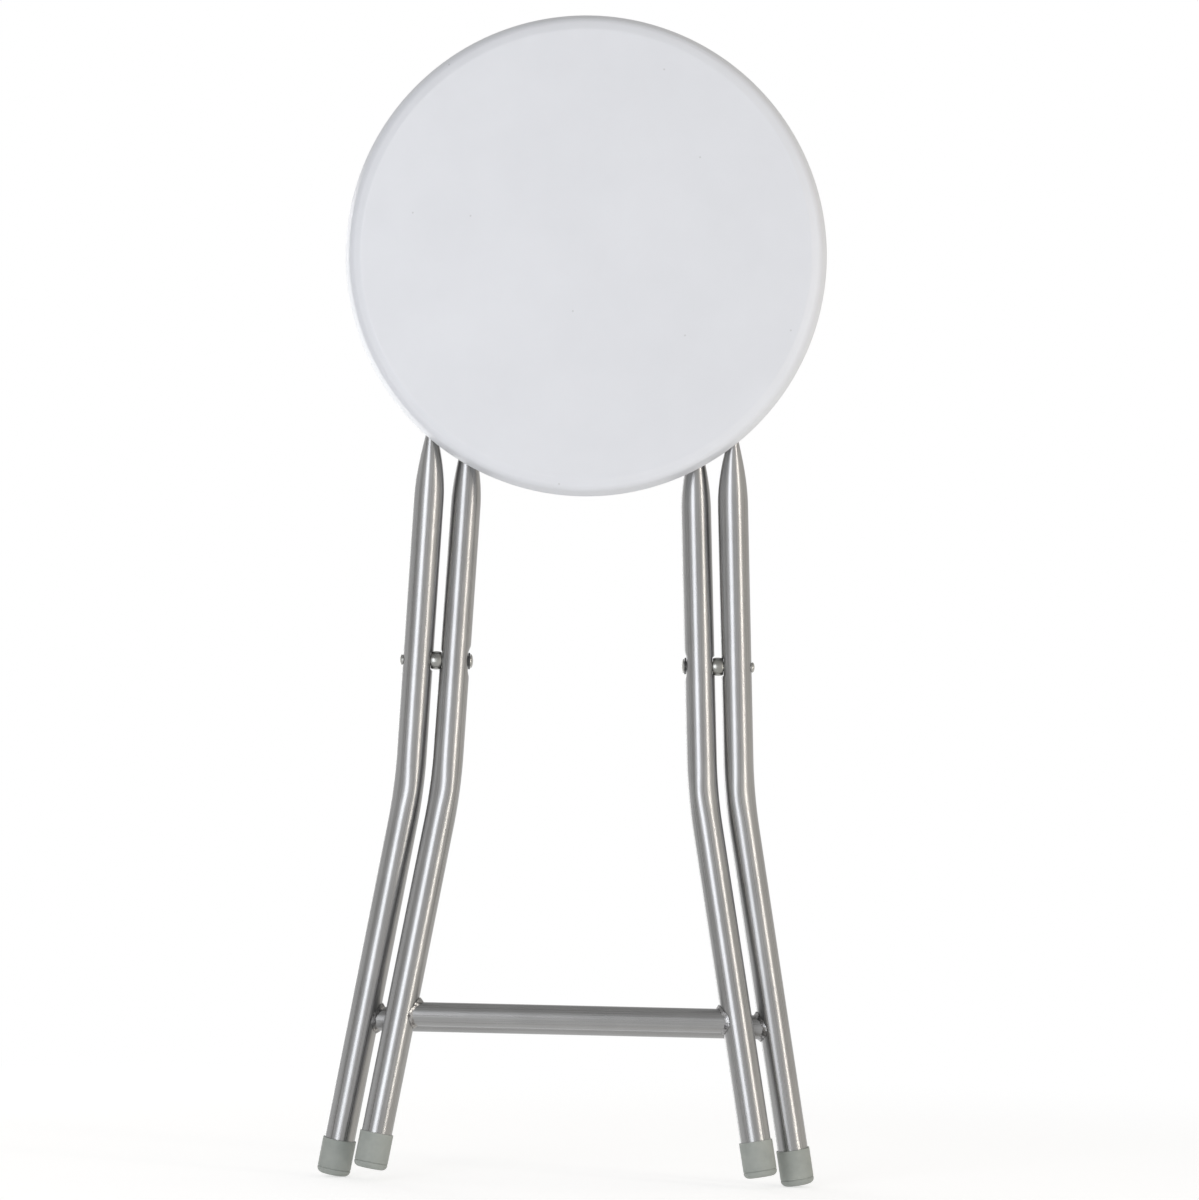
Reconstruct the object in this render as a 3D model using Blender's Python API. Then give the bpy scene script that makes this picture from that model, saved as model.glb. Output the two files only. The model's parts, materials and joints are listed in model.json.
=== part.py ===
"""Folding stool: a round seat board on two crossed pairs of steel tube legs, folded flat.

Sizes are in metres. X runs to the right, Y to the rear and Z up. Each pair of legs is drawn
upright about the scissor pivot and leans to its folded angle with its parent empty. The seat
is drawn about its hinge at the top of the outer legs.
"""

import math
from dataclasses import dataclass

import bmesh
import bpy
from mathutils import Matrix, Vector

# Seat board
SEAT_DIAMETER = 0.300
SEAT_THICKNESS = 0.018
SEAT_TOP_ROUND = 0.010
SEAT_UNDER_ROUND = 0.003

# Leg tubes: lengths from the scissor pivot to the top hole and to the foot, and the shape from the front
TUBE_DIAMETER = 0.019
TUBE_WALL = 0.0012
INNER_UPPER_LENGTH = 0.1634
INNER_LOWER_LENGTH = 0.317
OUTER_TO_INNER_RATIO = 1.019
INNER_HALF_WIDTH = 0.0767
LEG_SIDE_GAP = 0.0041
UPPER_SPLAY = math.radians(2.5)
LOWER_SPLAY = math.radians(9.9)
BEND_DROP = 0.080
BEND_RADIUS = 0.340

# Flat pressed top of each leg
PRESS_LENGTH = 0.050
TONGUE_BELOW_HOLE = 0.0165
TONGUE_SLIT = 0.0004
TONGUE_END_TURN = math.radians(75)

# Crossbars
BAR_DIAMETER = 0.015
BAR_WALL = 0.0012
INNER_BAR_DROP = 0.221

# Foot caps
CAP_DIAMETER = 0.021
CAP_LENGTH = 0.0225
CAP_FLOOR = 0.003
CAP_EDGE_ROUND = 0.0025

# Scissor pivot
PIVOT_PIN_DIAMETER = 0.006
PIVOT_HEAD_DIAMETER = 0.010
PIVOT_HEAD_HEIGHT = 0.0035
PIVOT_END_DIAMETER = 0.0075
PIVOT_END_HEIGHT = 0.0016
PIVOT_WASHER_DIAMETER = 0.012
PIVOT_WASHER_THICKNESS = 0.001
SPACER_DIAMETER = 0.0115
SPACER_SEAT_DEPTH = 0.0016
HEAD_SEAT_DEPTH = 0.0013
SEAT_RAMP = 0.004

# Seat rails, hinge and latch rod
TOP_SPAN = 0.175
RAIL_SHEET = 0.002
RAIL_END_MARGIN = 0.0155
HINGE_PIN_DIAMETER = 0.006
HINGE_HEAD_DIAMETER = 0.011
HINGE_HEAD_HEIGHT = 0.003
HINGE_WASHER_DIAMETER = 0.016
HINGE_WASHER_THICKNESS = 0.001
ROD_DIAMETER = 0.008
COLLAR_DIAMETER = 0.013
COLLAR_LENGTH = 0.005
NOTCH_APPROACH_SHARE = 0.95

# Rail screws
SCREW_DIAMETER = 0.0036
SCREW_LENGTH = 0.014
SCREW_HEAD_DIAMETER = 0.008
SCREW_HEAD_HEIGHT = 0.0022
SCREW_SPACING = 0.055
SCREWS_PER_RAIL = 3

# Clearances
GAP = 0.0003
PIN_CLEARANCE = 0.0002
FOLD_STOP_GAP = 0.0005
SWING_CLEARANCE = 0.0014
RAIL_SIDE_GAP = 0.0006
ROD_PASS_GAP = 0.0008
NOTCH_CLEARANCE = 0.0006
SCREW_HOLE_CLEARANCE = 0.0004
CUT_OVERRUN = 0.005

# Facets
TUBE_SIDES = 24
ROUND_SIDES = 16
SADDLE_SIDES = 32
BOARD_SIDES = 64
ROUND_STEPS = 4
BEND_STEPS = 4
PRESS_STEPS = 6
SMOOTH_ANGLE = math.radians(35)

# Sizes that follow from those above
TUBE_RADIUS = TUBE_DIAMETER / 2
BAR_RADIUS = BAR_DIAMETER / 2
ROD_RADIUS = ROD_DIAMETER / 2
SIDES = {"left": -1, "right": 1}
TONGUE_HALF = TUBE_WALL + TONGUE_SLIT / 2
TONGUE_HALF_WIDTH = TONGUE_HALF + math.pi * (TUBE_RADIUS - TONGUE_HALF) / 2
HINGE_DROP = TONGUE_HALF_WIDTH + SWING_CLEARANCE


@dataclass
class LegPair:
    """One pair of legs: sizes in its own plane, and how deep its tubes are pressed at the pivot."""

    name: str
    half_width: float
    above: float
    below: float
    bar_drop: float
    outside_seat: float
    inside_seat: float
    top_hole_radius: float


INNER = LegPair(
    name="inner",
    half_width=INNER_HALF_WIDTH,
    above=INNER_UPPER_LENGTH,
    below=INNER_LOWER_LENGTH,
    bar_drop=INNER_BAR_DROP,
    outside_seat=SPACER_SEAT_DEPTH,
    inside_seat=HEAD_SEAT_DEPTH,
    top_hole_radius=ROD_RADIUS + GAP,
)
OUTER = LegPair(
    name="outer",
    half_width=INNER_HALF_WIDTH + TUBE_DIAMETER + LEG_SIDE_GAP,
    above=INNER_UPPER_LENGTH * OUTER_TO_INNER_RATIO,
    below=INNER_LOWER_LENGTH * OUTER_TO_INNER_RATIO,
    bar_drop=INNER_BAR_DROP * OUTER_TO_INNER_RATIO,
    outside_seat=0.0,
    inside_seat=SPACER_SEAT_DEPTH,
    top_hole_radius=HINGE_PIN_DIAMETER / 2 + PIN_CLEARANCE,
)

# Folded, the outer crossbar stops against the back of the inner legs.
FOLDED_ANGLE = math.asin((BAR_RADIUS + TUBE_RADIUS + FOLD_STOP_GAP) / OUTER.bar_drop)

# Open, the rails hold the two leg tops one span apart and the seat lies level.
OPEN_ANGLE = math.acos(
    (OUTER.above**2 + INNER.above**2 - TOP_SPAN**2) / (2 * OUTER.above * INNER.above)
)
OPEN_HEIGHT = OUTER.above * INNER.above * math.sin(OPEN_ANGLE) / TOP_SPAN
OUTER_OPEN_LEAN = math.acos(OPEN_HEIGHT / OUTER.above)
SEAT_TURN = math.pi / 2 + OUTER_OPEN_LEAN


def leg_top_x(pair):
    """Sideways place of the flat top, which stands square to the hinge axis."""
    press_start = pair.above - TONGUE_BELOW_HOLE - PRESS_LENGTH
    return pair.half_width - math.tan(UPPER_SPLAY) * (press_start + PRESS_LENGTH / 2)


def leg_low_x(pair, drop):
    """Sideways place of the leg's centre line below the bend, at a depth under the pivot."""
    knee = pair.half_width + BEND_DROP * math.tan(UPPER_SPLAY)
    return knee + (drop - BEND_DROP) * math.tan(LOWER_SPLAY)


def rod_below_rail(share):
    """Place of the rod seen from the seat, along and below the hinge, at a share of the opening."""
    spread = FOLDED_ANGLE + share * (OPEN_ANGLE - FOLDED_ANGLE)
    swing = share * SEAT_TURN
    back = INNER.above * math.sin(spread)
    rise = INNER.above * math.cos(spread) - OUTER.above
    along = back * math.sin(swing) + rise * math.cos(swing)
    below = back * math.cos(swing) - rise * math.sin(swing)
    return along, below


# Rail section, from the inner leg's flat top to the washer on the outer leg's flat top
RAIL_INSIDE_X = leg_top_x(INNER) + TONGUE_HALF + RAIL_SIDE_GAP
RAIL_OUTSIDE_X = leg_top_x(OUTER) - TONGUE_HALF - HINGE_WASHER_THICKNESS - 2 * GAP
RAIL_MIDDLE_X = (RAIL_INSIDE_X + RAIL_OUTSIDE_X) / 2
RAIL_BACK_Y = GAP - HINGE_DROP
RAIL_EDGE_Y = rod_below_rail(0)[1] - ROD_RADIUS - ROD_PASS_GAP


def clear_scene():
    for item in list(bpy.data.objects):
        bpy.data.objects.remove(item, do_unlink=True)


def finish(name, colour, metallic, roughness):
    """A plain surface finish."""
    material = bpy.data.materials.new(name)
    material.use_nodes = True
    surface = material.node_tree.nodes["Principled BSDF"]
    surface.inputs["Base Color"].default_value = (*colour, 1.0)
    surface.inputs["Metallic"].default_value = metallic
    surface.inputs["Roughness"].default_value = roughness
    material.diffuse_color = (*colour, 1.0)
    return material


def make_finishes():
    return {
        "lacquer": finish("white_lacquer", (0.72, 0.74, 0.76), 0.0, 0.35),
        "tube": finish("silver_tube", (0.45, 0.46, 0.47), 1.0, 0.35),
        "zinc": finish("zinc_plate", (0.60, 0.60, 0.58), 1.0, 0.30),
        "sheet": finish("rail_sheet", (0.42, 0.43, 0.44), 1.0, 0.45),
        "nylon": finish("black_nylon", (0.02, 0.02, 0.02), 0.0, 0.50),
        "cap": finish("grey_cap", (0.29, 0.31, 0.27), 0.0, 0.55),
    }


def empty(name, parent=None, place=(0, 0, 0), lean=0.0):
    """A joint axis: an empty on the axis that carries the pieces turning about it."""
    axis = bpy.data.objects.new(name, None)
    axis.empty_display_size = TUBE_DIAMETER
    axis.parent = parent
    axis.location = place
    axis.rotation_euler = (lean, 0, 0)
    bpy.context.collection.objects.link(axis)
    return axis


def add_object(name, body, parent, material=None):
    """Turn a finished bmesh into an object carried by a joint axis."""
    bmesh.ops.recalc_face_normals(body, faces=body.faces)
    if body.calc_volume(signed=True) < 0:
        bmesh.ops.reverse_faces(body, faces=body.faces)
    mesh = bpy.data.meshes.new(name)
    body.to_mesh(mesh)
    body.free()
    item = bpy.data.objects.new(name, mesh)
    item.parent = parent
    bpy.context.collection.objects.link(item)
    if material:
        mesh.materials.append(material)
        mesh.shade_smooth()
        mesh.set_sharp_from_angle(angle=SMOOTH_ANGLE)
    return item


def cut(item, body):
    """Cut the closed shapes in a bmesh out of an object."""
    cutter = add_object(item.name + "_cutter", body, item.parent)
    cutter.hide_render = True
    cutter.display_type = "WIRE"
    boolean = item.modifiers.new("cut", "BOOLEAN")
    boolean.operation = "DIFFERENCE"
    boolean.solver = "EXACT"
    boolean.object = cutter


def along_x(place):
    """Turns a shape's own Z axis to point along X at a place."""
    return Matrix.Translation(place) @ Matrix.Rotation(math.pi / 2, 4, "Y")


def along_y(place):
    """Turns a shape's own Z axis to point to the rear at a place."""
    return Matrix.Translation(place) @ Matrix.Rotation(-math.pi / 2, 4, "X")


def add_cylinder(body, radius, length, matrix, sides=ROUND_SIDES):
    bmesh.ops.create_cone(
        body, cap_ends=True, segments=sides, radius1=radius, radius2=radius, depth=length, matrix=matrix
    )


def turned(profile, matrix, closed=False, sides=ROUND_SIDES):
    """A body turned about Z from points of radius and height, then moved by a matrix."""
    body = bmesh.new()
    points = [body.verts.new((radius, 0, height)) for radius, height in profile]
    pairs = list(zip(points, points[1:]))
    if closed:
        pairs.append((points[-1], points[0]))
    edges = [body.edges.new(pair) for pair in pairs]
    bmesh.ops.spin(
        body, geom=points + edges, cent=(0, 0, 0), axis=(0, 0, 1),
        angle=2 * math.pi, steps=sides, use_merge=True,
    )
    bmesh.ops.remove_doubles(body, verts=body.verts, dist=GAP / 100)
    body.transform(matrix)
    return body


def ring(radius, hole_radius, low, high):
    """Closed profile of a plain ring."""
    return [(hole_radius, low), (radius, low), (radius, high), (hole_radius, high)]


def quarter(centre_radius, centre_height, radius, start):
    """Points of a quarter round, turning clockwise from a start angle."""
    angles = [start - step * math.pi / 2 / ROUND_STEPS for step in range(ROUND_STEPS + 1)]
    return [
        (centre_radius + radius * math.cos(angle), centre_height + radius * math.sin(angle))
        for angle in angles
    ]


def dome(radius, base, height):
    """Points of a low dome from its rim to the axis; a negative height points it down."""
    angles = [step * math.pi / 2 / ROUND_STEPS for step in range(ROUND_STEPS)]
    rim = [(radius * math.cos(angle), base + height * math.sin(angle)) for angle in angles]
    return rim + [(0.0, base + height)]


def rivet_profile(head_radius, head_base, head_height, pin_radius, end_radius, end_base, end_height):
    """Rivet on Z: a domed head pointing down, the pin, and a formed end pointing up."""
    head = list(reversed(dome(head_radius, head_base, -head_height)))
    return head + [(pin_radius, head_base), (pin_radius, end_base)] + dome(end_radius, end_base, end_height)


def tube_section(half_thickness, half_width):
    """Points round a tube pressed to a slot shape, evenly spaced along its skin."""
    straight = 2 * (half_width - half_thickness)
    bow = math.pi * half_thickness
    skin = 2 * (straight + bow)
    points = []
    for index in range(TUBE_SIDES):
        way = (index * skin / TUBE_SIDES + straight / 2) % skin
        mirror = 1
        if way >= straight + bow:
            way -= straight + bow
            mirror = -1
        turn = max(way - straight, 0) / half_thickness
        x = half_thickness * math.cos(turn)
        y = min(way, straight) - straight / 2 + half_thickness * math.sin(turn)
        points.append((mirror * x, mirror * y))
    return points


def leg_stations(pair):
    """Stations from the foot to the flat top of a right leg.

    Each has the centre's x and z, the lean, half the thickness and width, and whether the tube
    is pressed in there for the pivot.
    """
    radius = TUBE_RADIUS
    stations = []
    end_z = CAP_FLOOR * math.cos(LOWER_SPLAY) + GAP - pair.below
    stations.append((leg_low_x(pair, -end_z), end_z, LOWER_SPLAY, radius, radius, False))

    tangent = BEND_RADIUS * math.tan((LOWER_SPLAY - UPPER_SPLAY) / 2)
    bend_z = -BEND_DROP - tangent * math.cos(LOWER_SPLAY)
    centre_x = leg_low_x(pair, -bend_z) + BEND_RADIUS * math.cos(LOWER_SPLAY)
    centre_z = bend_z + BEND_RADIUS * math.sin(LOWER_SPLAY)
    for step in range(BEND_STEPS + 1):
        lean = LOWER_SPLAY + (UPPER_SPLAY - LOWER_SPLAY) * step / BEND_STEPS
        x = centre_x - BEND_RADIUS * math.cos(lean)
        z = centre_z - BEND_RADIUS * math.sin(lean)
        stations.append((x, z, lean, radius, radius, False))

    flat = max(SPACER_DIAMETER, PIVOT_WASHER_DIAMETER) / 2 + GAP
    for z, pressed in [(-flat - SEAT_RAMP, False), (-flat, True), (flat, True), (flat + SEAT_RAMP, False)]:
        x = pair.half_width - z * math.tan(UPPER_SPLAY)
        stations.append((x, z, UPPER_SPLAY, radius, radius, pressed))

    start_z = pair.above - TONGUE_BELOW_HOLE - PRESS_LENGTH
    start_x = pair.half_width - start_z * math.tan(UPPER_SPLAY)
    for step in range(PRESS_STEPS + 1):
        share = step / PRESS_STEPS
        x = start_x - math.tan(UPPER_SPLAY) * PRESS_LENGTH * (share - share**2 / 2)
        thick = radius - (radius - TONGUE_HALF) * share**2
        wide = thick + math.pi * (radius - thick) / 2
        lean = UPPER_SPLAY * (1 - share)
        stations.append((x, start_z + PRESS_LENGTH * share, lean, thick, wide, False))

    for step in range(ROUND_STEPS + 1):
        turn = step * TONGUE_END_TURN / ROUND_STEPS
        z = pair.above + TONGUE_HALF_WIDTH * math.sin(turn)
        wide = TONGUE_HALF_WIDTH * math.cos(turn)
        stations.append((leg_top_x(pair), z, 0.0, TONGUE_HALF, wide, False))
    return stations


def leg_skin(pair, side, inset):
    """Rings of points for one skin of a leg tube, set in from the outside by the wall."""
    outside_limit = pair.half_width + TUBE_RADIUS - pair.outside_seat - inset
    inside_limit = pair.half_width - TUBE_RADIUS + pair.inside_seat + inset
    rings = []
    for x, z, lean, thick, wide, pressed in leg_stations(pair):
        points = []
        for across, depth in tube_section(thick - inset, wide - inset):
            point_x = x + across * math.cos(lean)
            if pressed:
                point_x = min(max(point_x, inside_limit), outside_limit)
            points.append((side * point_x, depth, z + across * math.sin(lean)))
        rings.append(points)
    return rings


def add_band(body, first, second):
    """Faces between two rings of the same number of points."""
    count = len(first)
    for index in range(count):
        following = (index + 1) % count
        body.faces.new((first[index], first[following], second[following], second[index]))


def make_leg(pair, side_name, parent, material):
    side = SIDES[side_name]
    body = bmesh.new()
    skins = []
    for inset in (0.0, TUBE_WALL):
        rings = [[body.verts.new(point) for point in points] for points in leg_skin(pair, side, inset)]
        for first, second in zip(rings, rings[1:]):
            add_band(body, first, second)
        skins.append(rings)
    outside, inside = skins
    add_band(body, outside[0], inside[0])
    add_band(body, outside[-1], inside[-1])
    leg = add_object(f"{pair.name}_leg_{side_name}", body, parent, material)

    holes = bmesh.new()
    length = TUBE_DIAMETER + 2 * CUT_OVERRUN
    pin_hole = PIVOT_PIN_DIAMETER / 2 + PIN_CLEARANCE
    add_cylinder(holes, pin_hole, length, along_x((side * pair.half_width, 0, 0)))
    add_cylinder(holes, pair.top_hole_radius, length, along_x((side * leg_top_x(pair), 0, pair.above)))
    cut(leg, holes)


def make_crossbar(pair, parent, material):
    """Round bar between a pair of legs, its ends shaped to the tubes."""
    reach = leg_low_x(pair, pair.bar_drop)
    profile = ring(BAR_RADIUS, BAR_RADIUS - BAR_WALL, -reach, reach)
    body = turned(profile, along_x((0, 0, -pair.bar_drop)), closed=True, sides=TUBE_SIDES)
    bar = add_object(f"{pair.name}_crossbar", body, parent, material)

    tubes = bmesh.new()
    for side in SIDES.values():
        lean = Matrix.Rotation(-side * LOWER_SPLAY, 4, "Y")
        place = Matrix.Translation((side * reach, 0, -pair.bar_drop))
        add_cylinder(tubes, TUBE_RADIUS + GAP, BAR_DIAMETER + 2 * CUT_OVERRUN, place @ lean, SADDLE_SIDES)
    cut(bar, tubes)


def make_foot_cap(pair, side_name, parent, material):
    """Moulded cap pushed over the end of a leg, square to the tube."""
    side = SIDES[side_name]
    radius = CAP_DIAMETER / 2
    bore = TUBE_RADIUS + GAP
    edge = quarter(radius - CAP_EDGE_ROUND, CAP_EDGE_ROUND, CAP_EDGE_ROUND, 0.0)
    profile = [(0.0, CAP_FLOOR), (bore, CAP_FLOOR), (bore, CAP_LENGTH), (radius, CAP_LENGTH)]
    profile = profile + edge + [(0.0, 0.0)]
    tip = Matrix.Translation((side * leg_low_x(pair, pair.below), 0, -pair.below))
    body = turned(profile, tip @ Matrix.Rotation(-side * LOWER_SPLAY, 4, "Y"))
    add_object(f"{pair.name}_foot_{side_name}", body, parent, material)


def make_pivot(side_name, parent, zinc, nylon):
    """Rivet, spacer and washer of the scissor pivot on one side."""
    side = SIDES[side_name]
    turn = Matrix.Rotation(side * math.pi / 2, 4, "Y")
    pin = PIVOT_PIN_DIAMETER / 2
    hole = pin + PIN_CLEARANCE

    seat_x = INNER.half_width - TUBE_RADIUS + INNER.inside_seat
    washer_high = seat_x - GAP
    washer_low = washer_high - PIVOT_WASHER_THICKNESS
    washer = turned(ring(PIVOT_WASHER_DIAMETER / 2, hole, washer_low, washer_high), turn, closed=True)
    add_object(f"pivot_washer_{side_name}", washer, parent, nylon)

    spacer_low = INNER.half_width + TUBE_RADIUS - INNER.outside_seat + GAP
    spacer_high = OUTER.half_width - TUBE_RADIUS + OUTER.inside_seat - GAP
    spacer = turned(ring(SPACER_DIAMETER / 2, hole, spacer_low, spacer_high), turn, closed=True)
    add_object(f"pivot_spacer_{side_name}", spacer, parent, zinc)

    head_base = washer_low - GAP
    end_base = OUTER.half_width + TUBE_RADIUS / math.cos(UPPER_SPLAY) + GAP
    profile = rivet_profile(
        PIVOT_HEAD_DIAMETER / 2, head_base, PIVOT_HEAD_HEIGHT,
        pin, PIVOT_END_DIAMETER / 2, end_base, PIVOT_END_HEIGHT,
    )
    add_object(f"pivot_rivet_{side_name}", turned(profile, turn), parent, zinc)


def make_hinge(side_name, parent, zinc, nylon):
    """Rivet and washer that join the outer leg's flat top to the rail on one side."""
    side = SIDES[side_name]
    turn = Matrix.Rotation(side * math.pi / 2, 4, "Y")
    pin = HINGE_PIN_DIAMETER / 2
    washer_high = leg_top_x(OUTER) - TONGUE_HALF - GAP
    washer_low = washer_high - HINGE_WASHER_THICKNESS
    profile = ring(HINGE_WASHER_DIAMETER / 2, pin + PIN_CLEARANCE, washer_low, washer_high)
    add_object(f"hinge_washer_{side_name}", turned(profile, turn, closed=True), parent, nylon)

    inside_base = RAIL_OUTSIDE_X - RAIL_SHEET - GAP
    outside_base = leg_top_x(OUTER) + TONGUE_HALF + GAP
    profile = rivet_profile(
        HINGE_HEAD_DIAMETER / 2, inside_base, HINGE_HEAD_HEIGHT,
        pin, HINGE_HEAD_DIAMETER / 2, outside_base, HINGE_HEAD_HEIGHT,
    )
    add_object(f"hinge_rivet_{side_name}", turned(profile, turn), parent, zinc)


def make_latch_rod(parent, zinc):
    """Rod through the flat tops of the inner legs, with a collar against each on the inside."""
    half_length = RAIL_OUTSIDE_X - GAP
    rod = bmesh.new()
    add_cylinder(rod, ROD_RADIUS, 2 * half_length, along_x((0, 0, INNER.above)))
    add_object("latch_rod", rod, parent, zinc)

    collar_high = leg_top_x(INNER) - TONGUE_HALF - GAP
    collar_low = collar_high - COLLAR_LENGTH
    for side_name, side in SIDES.items():
        profile = ring(COLLAR_DIAMETER / 2, ROD_RADIUS + GAP, side * collar_low, side * collar_high)
        collar = turned(profile, along_x((0, 0, INNER.above)), closed=True)
        add_object(f"rod_collar_{side_name}", collar, parent, zinc)


def make_seat_board(parent, material):
    """Round board: a generous round at the top edge and a small one under it."""
    radius = SEAT_DIAMETER / 2
    top = quarter(radius - SEAT_TOP_ROUND, SEAT_THICKNESS - SEAT_TOP_ROUND, SEAT_TOP_ROUND, math.pi / 2)
    under = quarter(radius - SEAT_UNDER_ROUND, SEAT_UNDER_ROUND, SEAT_UNDER_ROUND, 0.0)
    profile = [(0.0, SEAT_THICKNESS)] + top + under + [(0.0, 0.0)]
    face = Matrix.Translation((0, -HINGE_DROP, TOP_SPAN / 2)) @ Matrix.Rotation(math.pi / 2, 4, "X")
    board = add_object("seat_board", turned(profile, face, sides=BOARD_SIDES), parent, material)

    holes = bmesh.new()
    depth = SCREW_LENGTH - RAIL_SHEET + SCREW_HOLE_CLEARANCE
    for side in SIDES.values():
        for z in screw_heights():
            place = along_y((side * RAIL_MIDDLE_X, CUT_OVERRUN / 2 - HINGE_DROP - depth / 2, z))
            add_cylinder(holes, SCREW_DIAMETER / 2 + PIN_CLEARANCE, depth + CUT_OVERRUN, place)
    cut(board, holes)


def screw_heights():
    """Places of the screws along a rail, evenly about the middle of the seat."""
    first = TOP_SPAN / 2 - SCREW_SPACING * (SCREWS_PER_RAIL - 1) / 2
    return [first + SCREW_SPACING * index for index in range(SCREWS_PER_RAIL)]


def add_notch(body, side):
    """Slot that the rod swings up into: round at the top and open at the rail's edge."""
    along, below = rod_below_rail(1)
    before_along, before_below = rod_below_rail(NOTCH_APPROACH_SHARE)
    slant = math.atan2(along - before_along, before_below - below)
    half_width = ROD_RADIUS + NOTCH_CLEARANCE
    length = (RAIL_EDGE_Y + CUT_OVERRUN) / math.cos(slant)
    turns = [math.pi * step / (2 * ROUND_STEPS) for step in range(2 * ROUND_STEPS + 1)]
    outline = [(half_width * math.cos(turn), half_width * math.sin(turn)) for turn in turns]
    outline = outline + [(-half_width, -length), (half_width, -length)]
    middle = side * RAIL_MIDDLE_X
    half_length = (RAIL_OUTSIDE_X - RAIL_INSIDE_X) / 2 + CUT_OVERRUN
    points = []
    for out, up in outline:
        z = along + out * math.cos(slant) + up * math.sin(slant)
        y = below + out * math.sin(slant) - up * math.cos(slant)
        points.append(body.verts.new((middle - half_length, y, z)))
    face = body.faces.new(points)
    extruded = bmesh.ops.extrude_face_region(body, geom=[face])["geom"]
    moved = [item for item in extruded if isinstance(item, bmesh.types.BMVert)]
    bmesh.ops.translate(body, verts=moved, vec=(2 * half_length, 0, 0))


def make_rail(side_name, parent, material):
    """Pressed channel under the seat, open to the rear, with its hinge hole and rod notch."""
    side = SIDES[side_name]
    inside, outside = RAIL_INSIDE_X, RAIL_OUTSIDE_X
    outline = [
        (inside, RAIL_EDGE_Y),
        (inside, RAIL_BACK_Y),
        (outside, RAIL_BACK_Y),
        (outside, RAIL_EDGE_Y),
        (outside - RAIL_SHEET, RAIL_EDGE_Y),
        (outside - RAIL_SHEET, RAIL_BACK_Y + RAIL_SHEET),
        (inside + RAIL_SHEET, RAIL_BACK_Y + RAIL_SHEET),
        (inside + RAIL_SHEET, RAIL_EDGE_Y),
    ]
    body = bmesh.new()
    section = body.faces.new([body.verts.new((side * x, y, -RAIL_END_MARGIN)) for x, y in outline])
    extruded = bmesh.ops.extrude_face_region(body, geom=[section])["geom"]
    moved = [item for item in extruded if isinstance(item, bmesh.types.BMVert)]
    bmesh.ops.translate(body, verts=moved, vec=(0, 0, TOP_SPAN + 2 * RAIL_END_MARGIN))
    rail = add_object(f"seat_rail_{side_name}", body, parent, material)

    holes = bmesh.new()
    flange = side * (outside - RAIL_SHEET / 2)
    hinge_hole = HINGE_PIN_DIAMETER / 2 + PIN_CLEARANCE
    add_cylinder(holes, hinge_hole, RAIL_SHEET + CUT_OVERRUN, along_x((flange, 0, 0)))
    for z in screw_heights():
        place = along_y((side * RAIL_MIDDLE_X, RAIL_BACK_Y + RAIL_SHEET / 2, z))
        add_cylinder(holes, SCREW_DIAMETER / 2 + SCREW_HOLE_CLEARANCE, RAIL_SHEET + CUT_OVERRUN, place)
    add_notch(holes, side)
    cut(rail, holes)


def make_rail_screws(side_name, parent, zinc):
    """Pan head screws that hold a rail to the seat board."""
    side = SIDES[side_name]
    seat = RAIL_BACK_Y + RAIL_SHEET + GAP
    head = dome(SCREW_HEAD_DIAMETER / 2, 0.0, SCREW_HEAD_HEIGHT)
    profile = [(0.0, -SCREW_LENGTH), (SCREW_DIAMETER / 2, -SCREW_LENGTH), (SCREW_DIAMETER / 2, 0.0)] + head
    for index, z in enumerate(screw_heights(), start=1):
        body = turned(profile, along_y((side * RAIL_MIDDLE_X, seat, z)))
        add_object(f"rail_screw_{side_name}_{index}", body, parent, zinc)


def set_on_floor(pivot):
    """Lift the stool so that it stands on the floor, centred on the origin."""
    bpy.context.view_layer.update()
    pieces = [item for item in bpy.data.objects if item.type == "MESH" and not item.hide_render]
    corners = [item.matrix_world @ vertex.co for item in pieces for vertex in item.data.vertices]
    front = min(corner.y for corner in corners)
    rear = max(corner.y for corner in corners)
    floor = min(corner.z for corner in corners)
    pivot.location = Vector((0, -(front + rear) / 2, -floor))
    bpy.context.view_layer.update()


def main():
    clear_scene()
    finishes = make_finishes()
    pivot = empty("scissor_axis")
    outer_axis = empty("outer_pair_axis", pivot, lean=FOLDED_ANGLE / 2)
    inner_axis = empty("inner_pair_axis", pivot, lean=-FOLDED_ANGLE / 2)
    seat_axis = empty("seat_axis", outer_axis, place=(0, 0, OUTER.above))

    for pair, axis in ((OUTER, outer_axis), (INNER, inner_axis)):
        make_crossbar(pair, axis, finishes["tube"])
        for side_name in SIDES:
            make_leg(pair, side_name, axis, finishes["tube"])
            make_foot_cap(pair, side_name, axis, finishes["cap"])

    make_latch_rod(inner_axis, finishes["zinc"])
    make_seat_board(seat_axis, finishes["lacquer"])
    for side_name in SIDES:
        make_pivot(side_name, pivot, finishes["zinc"], finishes["nylon"])
        make_hinge(side_name, seat_axis, finishes["zinc"], finishes["nylon"])
        make_rail(side_name, seat_axis, finishes["sheet"])
        make_rail_screws(side_name, seat_axis, finishes["zinc"])

    set_on_floor(pivot)


main()
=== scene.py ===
import json
import math

import bmesh
import bpy
from mathutils import Matrix, Vector, noise


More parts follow.
